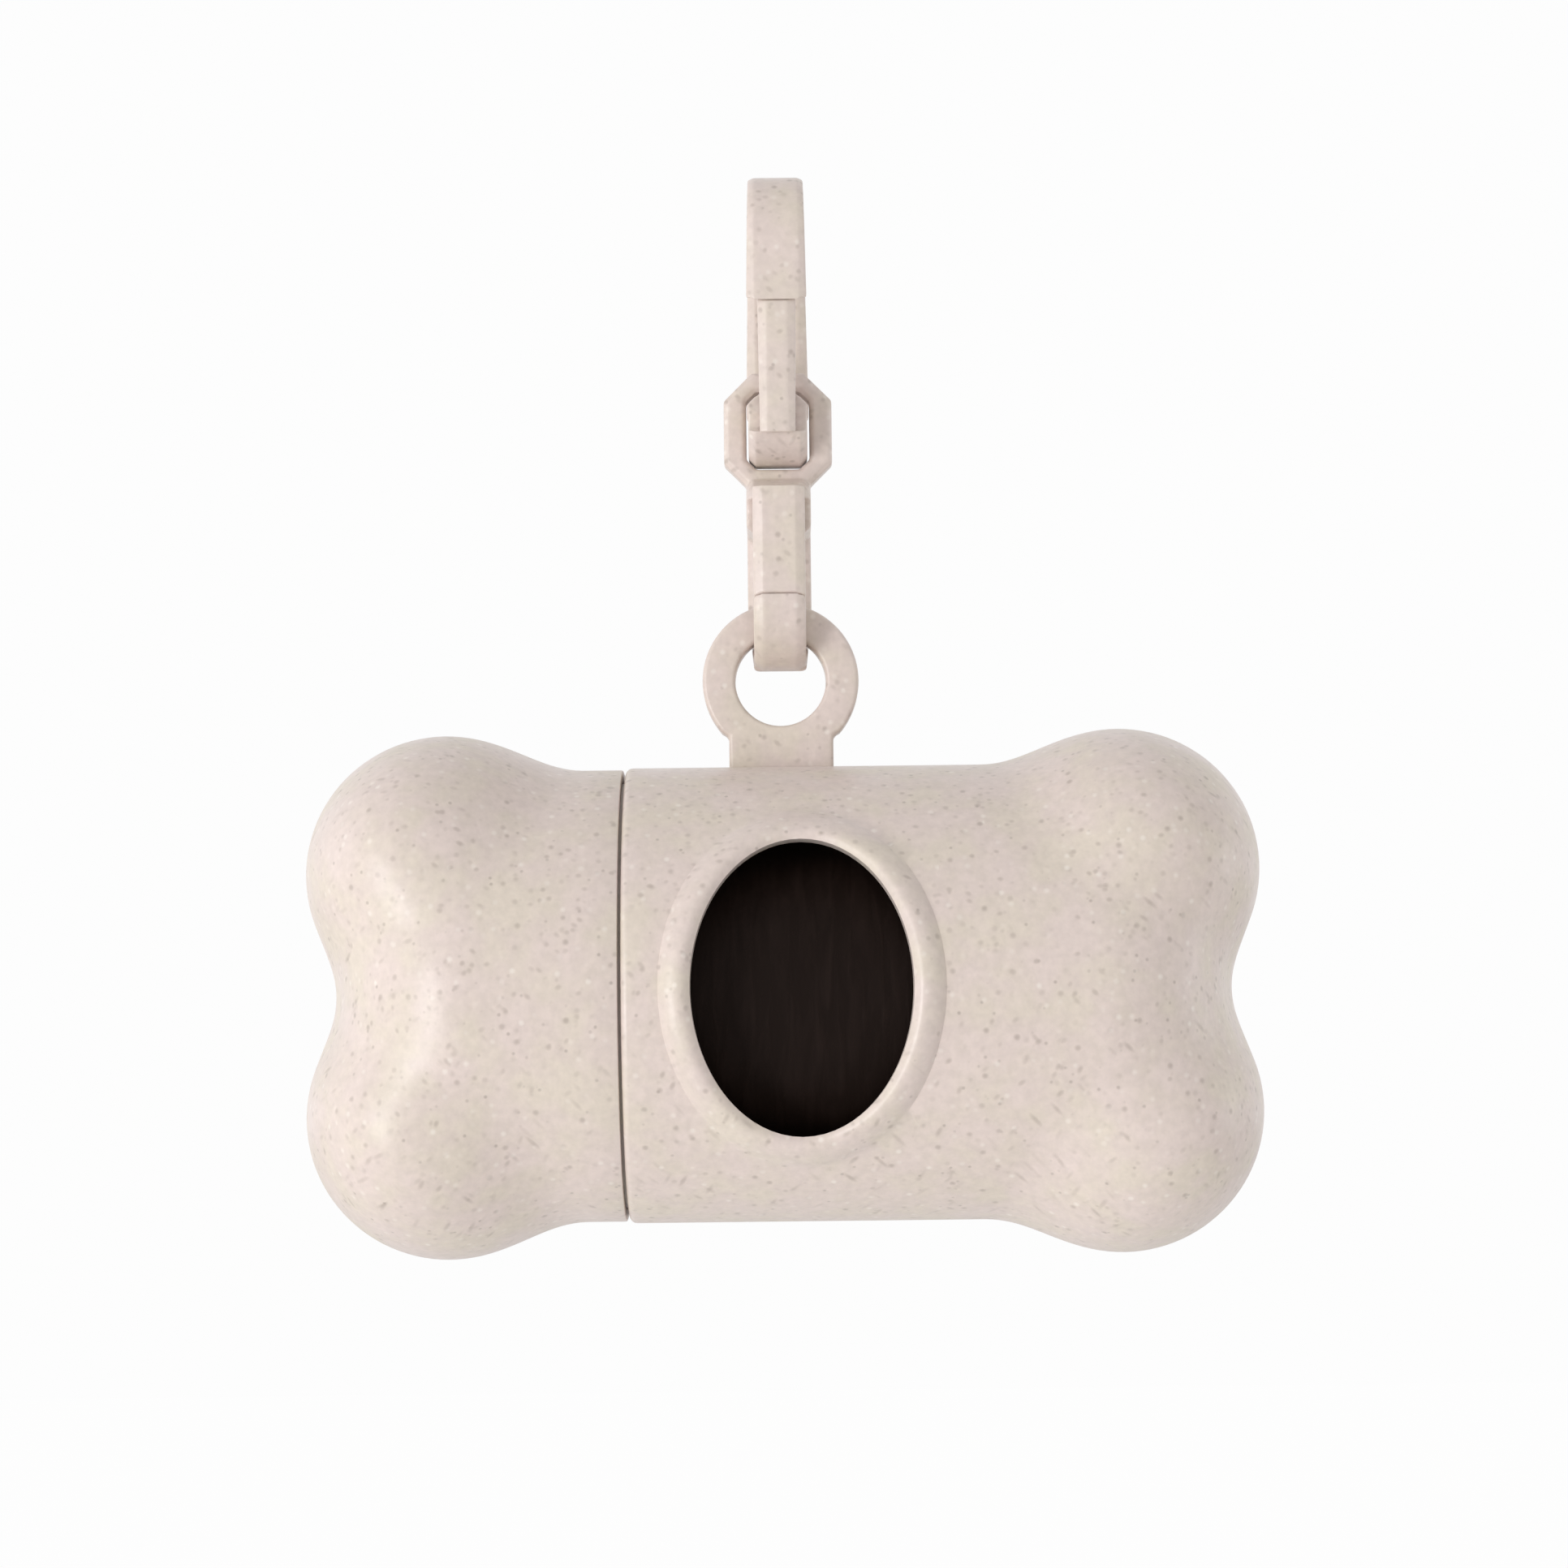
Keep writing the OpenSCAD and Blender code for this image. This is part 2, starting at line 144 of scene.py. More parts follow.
@dataclass(frozen=True)
class StrawPlastic:
    """Injection-moulded polypropylene filled with ground wheat straw.

    Cream and satin, softly mottled in pink and yellow, with small grey-brown husk specks and
    short fibres that lie in every direction.
    """

    name: str = "wheat_straw_polypropylene"
    base: str = "#D7C9C0"
    rosy: str = "#D9CAC3"
    straw: str = "#D7CBBE"
    rosy_at: float = 0.38
    base_at: float = 0.5
    straw_at: float = 0.64
    patch: float = 5.0  # mm across the faint patches of pink and yellow
    mottle: float = 0.8  # mm across the finer clouds of light and dark
    mottle_by: float = 0.05
    cloud_range: tuple[float, float] = (0.3, 0.7)
    cloud_roughness: float = 0.6
    grain: float = 0.35  # mm across the dimples that the mould leaves
    grain_depth: float = 0.05
    grain_strength: float = 0.2
    fleck_core: float = 0.2
    roughness: float = 0.35
    roughness_by: float = 0.04
    sheen: float = 0.05
    sheen_roughness: float = 0.4
    ior: float = 1.49
    flecks: tuple[Fleck, ...] = (
        Fleck((1.3, 1.3, 1.3), 0.30, (0, 0, 0), 0.30, 0.46, "#8A7C72"),
        Fleck((0.9, 0.9, 0.9), 0.26, (35, 10, 50), 0.60, 0.42, "#7C6F66"),
        Fleck((5.0, 1.1, 1.1), 0.27, (20, 35, 40), 0.35, 0.42, "#95877D"),
        Fleck((4.4, 1.2, 1.2), 0.26, (70, -30, -65), 0.40, 0.42, "#95877D"),
        Fleck((1.2, 4.8, 1.2), 0.26, (-35, 60, 10), 0.40, 0.42, "#988B80"),
        Fleck((1.1, 1.1, 1.1), 0.33, (10, 20, 30), 0.35, 0.42, "#F6F0E8"),
    )

    def _speck(
        self, tree: bpy.types.NodeTree, place: bpy.types.NodeSocket, fleck: Fleck
    ) -> bpy.types.NodeSocket:
        """Adds one kind of fleck.

        Args:
            tree: The material's node tree.
            place: Object coordinates, in metres.
            fleck: The kind of fleck.

        Returns:
            A value from 0, bare plastic, to the fleck's strength.
        """
        turned = add_node(
            tree, "ShaderNodeMapping",
            {"Vector": place, "Rotation": [math.radians(a) for a in fleck.turned],
             "Scale": [side * MM for side in fleck.room]},
            vector_type="TEXTURE",
        )
        cells = add_node(
            tree, "ShaderNodeTexVoronoi", {"Vector": turned.outputs[0], "Scale": 1.0}
        )
        edge = add_node(
            tree, "ShaderNodeMapRange",
            {"Value": cells.outputs["Distance"], "From Min": fleck.radius,
             "From Max": fleck.radius * self.fleck_core, "To Min": 0.0, "To Max": 1.0},
            interpolation_type="SMOOTHSTEP",
        )
        chance = add_node(tree, "ShaderNodeSeparateColor", {"Color": cells.outputs["Color"]})
        kept = add_node(
            tree, "ShaderNodeMapRange",
            {"Value": chance.outputs["Red"], "From Min": fleck.sparse, "From Max": 1.0,
             "To Min": 0.0, "To Max": fleck.strength},
        )
        return add_node(
            tree, "ShaderNodeMath", {0: edge.outputs["Result"], 1: kept.outputs["Result"]},
            operation="MULTIPLY",
        ).outputs[0]

    def material(self) -> bpy.types.Material:
        """Builds the material."""
        material, tree = blank_material(self.name)
        place = add_node(tree, "ShaderNodeTexCoord").outputs["Object"]
        patches = add_node(
            tree, "ShaderNodeTexNoise",
            {"Vector": place, "Scale": 1 / (self.patch * MM), "Detail": 2.0,
             "Roughness": self.cloud_roughness},
        )
        ramp = add_node(tree, "ShaderNodeValToRGB", {"Fac": patches.outputs["Fac"]})
        stops = ramp.color_ramp.elements
        stops[0].position, stops[0].color = self.rosy_at, linear(self.rosy)
        stops[1].position, stops[1].color = self.straw_at, linear(self.straw)
        stops.new(self.base_at).color = linear(self.base)
        cloud = add_node(
            tree, "ShaderNodeTexNoise",
            {"Vector": place, "Scale": 1 / (self.mottle * MM), "Detail": 2.0,
             "Roughness": self.cloud_roughness},
        )
        low, high = self.cloud_range
        value = add_node(
            tree, "ShaderNodeMapRange",
            {"Value": cloud.outputs["Fac"], "From Min": low, "From Max": high,
             "To Min": 1 - self.mottle_by, "To Max": 1 + self.mottle_by},
        )
        colour = add_node(
            tree, "ShaderNodeHueSaturation",
            {"Color": ramp.outputs["Color"], "Value": value.outputs["Result"]},
        ).outputs["Color"]
        for fleck in self.flecks:
            colour = add_node(
                tree, "ShaderNodeMix",
                {0: self._speck(tree, place, fleck), 6: colour, 7: linear(fleck.colour)},
                data_type="RGBA",
            ).outputs[2]
        grain = add_node(
            tree, "ShaderNodeTexNoise",
            {"Vector": place, "Scale": 1 / (self.grain * MM), "Detail": 2.0},
        )
        bump = add_node(
            tree, "ShaderNodeBump",
            {"Strength": self.grain_strength, "Distance": self.grain_depth * MM,
             "Height": grain.outputs["Fac"]},
        )
        gloss = add_node(
            tree, "ShaderNodeMapRange",
            {"Value": patches.outputs["Fac"], "From Min": low, "From Max": high,
             "To Min": self.roughness - self.roughness_by,
             "To Max": self.roughness + self.roughness_by},
        )
        shader = add_node(
            tree, "ShaderNodeBsdfPrincipled",
            {"Base Color": colour, "Roughness": gloss.outputs["Result"], "IOR": self.ior,
             "Sheen Weight": self.sheen, "Sheen Roughness": self.sheen_roughness,
             "Normal": bump.outputs["Normal"]},
        )
        add_node(tree, "ShaderNodeOutputMaterial", {"Surface": shader.outputs[0]})
        return material


@dataclass(frozen=True)
class BagFilm:
    """Blown polyethylene film, folded and rolled up tight: near black, with a soft dull shine."""

    name: str = "black_polyethylene_film"
    base: str = "#1A120F"
    crease: str = "#221916"
    base_at: float = 0.45
    crease_at: float = 0.75
    wrinkle: tuple[float, float] = (7.0, 1.1)  # mm round the roll and along it
    wrinkle_depth: float = 0.15
    wrinkle_strength: float = 0.5
    crinkle: float = 0.6
    roughness: float = 0.55
    specular: float = 0.06
    ior: float = 1.51

    def material(self) -> bpy.types.Material:
        """Builds the material."""
        material, tree = blank_material(self.name)
        place = add_node(tree, "ShaderNodeTexCoord").outputs["Object"]
        along, across = self.wrinkle
        drawn = add_node(
            tree, "ShaderNodeMapping",
            {"Vector": place, "Scale": [across * MM, along * MM, along * MM]},
            vector_type="TEXTURE",
        )
        folds = add_node(
            tree, "ShaderNodeTexNoise",
            {"Vector": drawn.outputs[0], "Scale": 1.0, "Detail": 3.0, "Distortion": self.crinkle},
        )
        ramp = add_node(tree, "ShaderNodeValToRGB", {"Fac": folds.outputs["Fac"]})
        stops = ramp.color_ramp.elements
        stops[0].position, stops[0].color = self.base_at, linear(self.base)
        stops[1].position, stops[1].color = self.crease_at, linear(self.crease)
        bump = add_node(
            tree, "ShaderNodeBump",
            {"Strength": self.wrinkle_strength, "Distance": self.wrinkle_depth * MM,
             "Height": folds.outputs["Fac"]},
        )
        shader = add_node(
            tree, "ShaderNodeBsdfPrincipled",
            {"Base Color": ramp.outputs["Color"], "Roughness": self.roughness, "IOR": self.ior,
             "Specular IOR Level": self.specular, "Normal": bump.outputs["Normal"]},
        )
        add_node(tree, "ShaderNodeOutputMaterial", {"Surface": shader.outputs[0]})
        return material


@dataclass(frozen=True)
class CoreBoard:
    """Spirally wound kraft board: matt light brown, with long fibres and a slanting seam."""

    name: str = "kraft_core_board"
    base: str = "#B39674"
    fibre: str = "#9C7F5E"
    fibre_size: tuple[float, float] = (2.4, 0.25)  # mm long and across
    fibre_depth: float = 0.05
    fibre_strength: float = 0.4
    seam_pitch: float = 16.0
    seam_starts: float = 0.96
    seam_strength: float = 0.5
    wave_unit: float = 0.314  # length of one wave at a scale of 1
    slant: float = 32.0
    roughness: float = 0.85

    def material(self) -> bpy.types.Material:
        """Builds the material."""
        material, tree = blank_material(self.name)
        place = add_node(tree, "ShaderNodeTexCoord").outputs["Object"]
        along, across = self.fibre_size
        laid = add_node(
            tree, "ShaderNodeMapping",
            {"Vector": place, "Rotation": (0, math.radians(self.slant), 0),
             "Scale": [along * MM, across * MM, across * MM]},
            vector_type="TEXTURE",
        )
        fibres = add_node(
            tree, "ShaderNodeTexNoise", {"Vector": laid.outputs[0], "Scale": 1.0, "Detail": 3.0}
        )
        seam = add_node(
            tree, "ShaderNodeTexWave",
            {"Vector": place, "Scale": self.wave_unit / (self.seam_pitch * MM),
             "Distortion": 0.0},
            bands_direction="DIAGONAL", wave_profile="SAW",
        )
        line = add_node(
            tree, "ShaderNodeMapRange",
            {"Value": seam.outputs["Fac"], "From Min": self.seam_starts, "From Max": 1.0,
             "To Min": 0.0, "To Max": self.seam_strength},
        )
        fibrous = add_node(
            tree, "ShaderNodeMix",
            {0: fibres.outputs["Fac"], 6: linear(self.base), 7: linear(self.fibre)},
            data_type="RGBA",
        )
        colour = add_node(
            tree, "ShaderNodeMix",
            {0: line.outputs["Result"], 6: fibrous.outputs[2], 7: linear(self.fibre)},
            data_type="RGBA",
        )
        bump = add_node(
            tree, "ShaderNodeBump",
            {"Strength": self.fibre_strength, "Distance": self.fibre_depth * MM,
             "Height": fibres.outputs["Fac"]},
        )
        shader = add_node(
            tree, "ShaderNodeBsdfPrincipled",
            {"Base Color": colour.outputs[2], "Roughness": self.roughness,
             "Normal": bump.outputs["Normal"]},
        )
        add_node(tree, "ShaderNodeOutputMaterial", {"Surface": shader.outputs[0]})
        return material


# ---------------------------------------------------------------- pieces


def settle(
    bm: bmesh.types.BMesh, name: str, place: Vector, sharp: float = 35.0
) -> bpy.types.Object:
    """Turns a mesh made in millimetres into an object that stands at the frame's origin.

    Args:
        bm: The mesh, in millimetres. It is used up.
        name: The piece's name.
        place: Where the mesh's own origin goes, in metres.
        sharp: Angle in degrees past which an edge is shaded as a sharp one.

    Returns:
        The new object, in the scene.
    """
    bmesh.ops.remove_doubles(bm, verts=bm.verts, dist=MERGE)
    bmesh.ops.recalc_face_normals(bm, faces=bm.faces)
    placed = Matrix.Translation(place) @ Matrix.Scale(MM, 4)
    bmesh.ops.transform(bm, matrix=placed, verts=bm.verts)
    mesh = bpy.data.meshes.new(name)
    bm.to_mesh(mesh)
    bm.free()
    mesh.shade_smooth()
    mesh.set_sharp_from_angle(angle=math.radians(sharp))
    piece = bpy.data.objects.new(name, mesh)
    bpy.context.scene.collection.objects.link(piece)
    return piece


def dress(
    piece: bpy.types.Object, body: Body, slot: Slot, material: bpy.types.Material, *nodes: str
) -> None:
    """Gives a piece its finish and body, and hides the frame nodes that it stands for.

    Args:
        piece: The piece.
        body: The body that it rides on.
        slot: The record's material slot; not used.
        material: Its finish.
        *nodes: Names of the frame nodes that it replaces.
    """
    piece.data.materials.clear()
    piece.data.materials.append(material)
    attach(piece, body.value)
    if nodes:
        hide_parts(*nodes)
    log.info("%s: %d faces on %s", piece.name, len(piece.data.polygons), body.value)


@dataclass(frozen=True)
class BoneForm:
    """The smooth form of the bone in millimetres: two lobes at each end, blended to a barrel."""

    half_len: float = 41.9
    lobe_r: float = 12.4
    lobe_spread: float = 21.2
    lobe_depth: float = 35.6
    lobe_lean: float = 2.0
    barrel_inset: float = 5.2
    end_round: float = 10.2
    lobe_blend: float = 8.2
    barrel_blend: float = 2.9
    fan_x: float = 21.9
    fan_last: float = 104.0
    reach_from: float = 1.0
    halvings: int = 26

    @staticmethod
    def soft_min(a: float, b: float, k: float) -> float:
        """Returns the smaller of two distances, blended where they differ by less than k."""
        h = max(k - abs(a - b), 0.0) / k
        return min(a, b) - h * h * k / 4

    def lobe_gap(self, p: Vector, side: int) -> float:
        """Returns the distance from a point to one lobe, an ellipsoid that leans outwards."""
        depth = self.lobe_depth / 2
        lean = self.lobe_lean * (p.y / depth) ** 2
        axes = (self.lobe_r, depth, self.lobe_r)
        centre = (self.half_len - self.lobe_r + lean, 0.0, side * self.lobe_spread / 2)
        q = Vector([(c - m) / s for c, m, s in zip(p, centre, axes)])
        slope = Vector([c / s for c, s in zip(q, axes)])
        return q.length * (q.length - 1) / max(slope.length, 1e-4)

    def barrel_gap(self, p: Vector, radius: float) -> float:
        """Returns the distance from a point to the barrel with its rounded end."""
        dx = p.x - (self.half_len - self.barrel_inset) + self.end_round
        dr = math.hypot(p.y, p.z) - radius + self.end_round
        return min(max(dx, dr), 0.0) + math.hypot(max(dx, 0.0), max(dr, 0.0)) - self.end_round

    def gap(self, p: Vector, radius: float) -> float:
        """Returns the distance from a point to the bone, negative inside it."""
        lobes = self.soft_min(self.lobe_gap(p, 1), self.lobe_gap(p, -1), self.lobe_blend)
        return self.soft_min(lobes, self.barrel_gap(p, radius), self.barrel_blend)

    def surface(self, polar: float, turn: float, radius: float) -> Vector:
        """Finds where a ray from inside the end leaves the bone.

        Args:
            polar: The ray's angle to the bone's axis, in radians.
            turn: The ray's angle round the axis, in radians.
            radius: The barrel's radius.

        Returns:
            The point on the skin.
        """
        start = Vector((self.fan_x, 0, 0))
        out = math.sin(polar)
        ray = Vector((math.cos(polar), out * math.cos(turn), out * math.sin(turn)))
        near, far = self.reach_from, self.half_len
        for _ in range(self.halvings):
            middle = (near + far) / 2
            if self.gap(start + ray * middle, radius) > 0:
                far = middle
            else:
                near = middle
        return start + ray * near


class Skin:
    """A closed skin that grows from a pole by extruding its open rim, one ring at a time.

    Each vertex remembers its angle round the X axis and its place along it in two layers,
    which a new ring takes over from the ring that it grew from.
    """

    def __init__(self, sides: int) -> None:
        """Starts an empty skin with this many sides."""
        self.sides = sides
        self.bm = bmesh.new()
        self.turn = self.bm.verts.layers.float.new("turn")
        self.along = self.bm.verts.layers.float.new("along")
        made = bmesh.ops.create_circle(
            self.bm, cap_ends=True, cap_tris=True, segments=sides, radius=1.0
        )["verts"]
        bmesh.ops.rotate(self.bm, verts=made, matrix=Matrix.Rotation(QUARTER, 3, "Y"))
        self.rim = [e for e in self.bm.edges if e.is_boundary]
        self.pole = next(v for v in self.bm.verts if not v.is_boundary)
        for v in self._verts(self.rim):
            v[self.turn] = math.atan2(v.co.z, v.co.y)

    @staticmethod
    def _verts(edges: Iterable[bmesh.types.BMEdge]) -> list[bmesh.types.BMVert]:
        """Returns the vertices of some edges, each once."""
        return list({v for e in edges for v in e.verts})

    def shape(self, where: Callable[[float], Vector]) -> None:
        """Moves the rim's vertices to where a function of their turn says."""
        for v in self._verts(self.rim):
            v.co = where(v[self.turn])
            v[self.along] = v.co.x

    def grow(self, where: Callable[[float], Vector]) -> None:
        """Extrudes the rim and moves the new ring to where a function of its turn says."""
        made = bmesh.ops.extrude_edge_only(self.bm, edges=self.rim)["geom"]
        self.rim = [e for e in made if isinstance(e, bmesh.types.BMEdge) and e.is_boundary]
        self.shape(where)

    def lathe(self, profile: Iterable[tuple[float, float]]) -> None:
        """Grows plain round rings, each given as its place along X and its radius."""
        for x, radius in profile:
            self.grow(lambda t, x=x, r=radius: Vector((x, r * math.cos(t), r * math.sin(t))))

    def close(self, x: float) -> None:
        """Draws the rim together at a point on the axis."""
        bmesh.ops.pointmerge(self.bm, verts=self._verts(self.rim), merge_co=(x, 0, 0))


@dataclass
class BoneShell:
    """What the two shells of the bone share, in millimetres from the bone's centre."""

    form: BoneForm = field(default_factory=BoneForm)
    sides: int = 128
    fan_rings: int = 64
    barrel_r: float = 20.0
    chamber_r: float = 17.0
    chamber_round: float = 4.0
    chamber_end: float = 33.0
    seam_x: float = 13.7
    neck_len: float = 9.0
    band_r: float = 18.65
    pole_r: float = 1.0
    corner_steps: int = 6

    def closed_end(self, radius: float) -> Skin:
        """Makes the lobed end of the bone, from its pole to the straight barrel.

        Args:
            radius: The barrel's radius.

        Returns:
            A skin whose rim is the last ring of the fan.
        """
        skin = Skin(self.sides)
        step = math.radians(self.form.fan_last) / self.fan_rings
        skin.pole.co = self.form.surface(0, 0, radius)
        skin.shape(lambda t: self.form.surface(step, t, radius))
        for ring in range(2, self.fan_rings + 1):
            skin.grow(lambda t, a=ring * step: self.form.surface(a, t, radius))
        return skin

    def chamber(self) -> list[tuple[float, float]]:
        """Returns the profile of the chamber's rounded far corner, in towards the axis."""
        steps = [QUARTER * i / self.corner_steps for i in range(self.corner_steps + 1)]
        corner = [
            (self.chamber_end - self.chamber_round * (1 - math.sin(a)),
             self.chamber_r - self.chamber_round * (1 - math.cos(a)))
            for a in steps
        ]
        return corner + [(self.chamber_end, self.chamber_r / 2), (self.chamber_end, self.pole_r)]


@dataclass
class Cap(BoneShell):
    """The short closed end of the bone, which is pushed over the housing's neck."""

    step: float = 0.15
    seam_gap: float = 0.25
    lip: float = 0.15
    socket_clear: float = 0.08

    def build(self, centre: Vector) -> bpy.types.Object:
        """Models the cap as a +X end and mirrors it to its own side.

        Args:
            centre: The bone's centre in the frame.

        Returns:
            The cap.
        """
        radius = self.barrel_r - self.step
        mouth = self.seam_x + self.seam_gap
        socket_r = self.band_r + self.socket_clear
        socket_end = self.seam_x + self.neck_len + self.seam_gap
        skin = self.closed_end(radius)
        skin.lathe([
            (mouth + self.lip, radius), (mouth + self.lip / 3, radius - self.lip / 4),
            (mouth, radius - self.lip), (mouth, socket_r + self.lip),
            (mouth + self.lip, socket_r), (socket_end, socket_r), (socket_end, self.chamber_r),
        ])
        skin.lathe(self.chamber())
        skin.close(self.chamber_end)
        bmesh.ops.scale(skin.bm, vec=(-1, 1, 1), verts=skin.bm.verts)
        return settle(skin.bm, "cap_shell", centre)


@dataclass
class Window:
    """The oval window and the soft bead round it, in millimetres."""

    x: float = 1.5
    half_w: float = 9.4
    half_h: float = 12.6
    bead_w: float = 2.7
    bead_h: float = 0.9
    bead_crest: float = 0.66  # share of the way in at which the bead is highest
    bead_swell: float = 0.85  # under 1, the bead rises more steeply at its foot
    edge_h: float = 0.35
    bead_steps: int = 12
    web_steps: int = 5
    room: float = 13.1
    room_turn: float = math.radians(61.875)  # 22 of the skin's 128 sides, each way
    slack: float = 0.01

    def rows(self, count: int) -> list[float]:
        """Returns the places along X of the rings that cross the window."""
        return [self.x + self.room - 2 * self.room * i / count for i in range(count + 1)]

    def inside(self, skin: Skin, v: bmesh.types.BMVert) -> bool:
        """Says whether a vertex lies in the block of skin that the window takes."""
        off = abs(abs(v[skin.turn]) - math.pi)
        in_reach = abs(v[skin.along] - self.x) < self.room + self.slack
        return in_reach and off < self.room_turn + self.slack

    def bead(self, u: float) -> float:
        """Returns the bead's height at a share u of the way in from its outer edge."""
        if u < self.bead_crest:
            return self.bead_h * math.sin(QUARTER * u / self.bead_crest) ** self.bead_swell
        fall = (u - self.bead_crest) / (1 - self.bead_crest)
        return self.edge_h + (self.bead_h - self.edge_h) * math.cos(QUARTER * fall)

    def open(
        self, skin: Skin, faces: list[bmesh.types.BMFace], radius: float, raised: bool
    ) -> list[bmesh.types.BMEdge]:
        """Cuts a block out of one wall and draws the hole's edge in to the oval.

        Args:
            skin: The skin that holds the wall.
            faces: The faces of that wall.
            radius: The wall's radius.
            raised: Whether the wall gets the bead.

        Returns:
            The edges of the oval.
        """
        block = [f for f in faces if all(self.inside(skin, v) for v in f.verts)]
        border = {
            e for f in block for e in f.edges if any(n not in block for n in e.link_faces)
        }
        bmesh.ops.delete(skin.bm, geom=block, context="FACES")
        edge = list(border)
        outer_w = self.bead_w if raised else 0.0
        stages = [(step / self.web_steps, outer_w, 0.0) for step in range(1, self.web_steps + 1)]
        if raised:
            shares = [step / self.bead_steps for step in range(1, self.bead_steps + 1)]
            stages += [(1.0, self.bead_w * (1 - u), self.bead(u)) for u in shares]
        for share, grown, height in stages:
            made = bmesh.ops.extrude_edge_only(skin.bm, edges=edge)["geom"]
            edge = [e for e in made if isinstance(e, bmesh.types.BMEdge) and e.is_boundary]
            for v in {v for e in edge for v in e.verts}:
                v.co = self._web(v[skin.along], v[skin.turn], radius, share, grown, height)
        return edge

    def _web(
        self, along: float, turn: float, radius: float, share: float, grown: float, height: float
    ) -> Vector:
        """Places one vertex between the block's edge and the oval.

        Args:
            along: The vertex's place along X on the block's edge.
            turn: Its angle round the axis on the block's edge.
            radius: The wall's radius.
            share: How far it has gone from the block's edge to the oval.
            grown: How much wider the oval is than the window, all round.
            height: How far it stands proud of the wall.

        Returns:
            The vertex's new place.
        """
        off = math.pi - turn if turn > 0 else -math.pi - turn
        heading = math.atan2(off / self.room_turn, (along - self.x) / self.room)
        x = self.x + (self.half_w + grown) * math.cos(heading)
        z = (self.half_h + grown) * math.sin(heading)
        x = along + (x - along) * share
        z = radius * math.sin(off) * (1 - share) + z * share
        return Vector((x, -math.sqrt((radius + height) ** 2 - z * z), z))


@dataclass
class HangingRing:
    """The flat ring on top of the housing and the stem that carries it, in millimetres."""

    outer_d: float = 13.8
    hole_d: float = 8.0
    thick: float = 3.0
    rise: float = 27.6
    stem_w: float = 9.2
    foot_z: float = 19.0
    soft_edge: float = 0.8
    soft_steps: int = 4
    edge_angle: float = 50.0
    sides: int = 96

    def _draw_stem(self, rim: list[bmesh.types.BMVert]) -> None:
        """Draws the lower part of the ring's outer edge down into a stem with upright sides.

        Args:
            rim: The vertices of the outer edge, centred on the ring.
        """
        half = self.stem_w / 2
        low = [v for v in rim if v.co.y < 0]
        for v in low:
            if abs(v.co.x) <= half:
                v.co.y = self.foot_z - self.rise
        for side in (-1, 1):
            within = [v for v in low if abs(v.co.x) <= half]
            beyond = [v for v in low if side * v.co.x > half]
            foot = max(within, key=lambda v, side=side: side * v.co.x)
            shoulder = min(beyond, key=lambda v, side=side: side * v.co.x)
            foot.co.x = shoulder.co.x = side * half

    def add_to(self, bm: bmesh.types.BMesh) -> None:
        """Models the ring and its stem in the same mesh as the housing.

        Args:
            bm: The housing's mesh, in millimetres from the bone's centre.
        """
        part = bmesh.new()
        loops = []
        for radius in (self.outer_d / 2, self.hole_d / 2):
            made = bmesh.ops.create_circle(part, segments=self.sides, radius=radius)["verts"]
            loops.append(made)
        self._draw_stem(loops[0])
        bmesh.ops.bridge_loops(part, edges=part.edges[:])
        bmesh.ops.translate(part, vec=(0, 0, -self.thick / 2), verts=part.verts)
        made = bmesh.ops.extrude_face_region(part, geom=part.faces[:])["geom"]
        lifted = [v for v in made if isinstance(v, bmesh.types.BMVert)]
        bmesh.ops.translate(part, vec=(0, 0, self.thick), verts=lifted)
        bmesh.ops.recalc_face_normals(part, faces=part.faces)
        edge = math.radians(self.edge_angle)
        rims = [e for e in part.edges if e.is_manifold and e.calc_face_angle() > edge]
        bmesh.ops.bevel(
            part, geom=rims, offset=self.soft_edge, segments=self.soft_steps, profile=0.5,
            affect="EDGES", material=-1, clamp_overlap=True,
        )
        upright = Matrix.Translation((0, 0, self.rise)) @ Matrix.Rotation(QUARTER, 4, "X")
        bmesh.ops.transform(part, matrix=upright, verts=part.verts)
        scratch = bpy.data.meshes.new("ring_scratch")
        part.to_mesh(scratch)
        part.free()
        bm.from_mesh(scratch)
        bpy.data.meshes.remove(scratch)


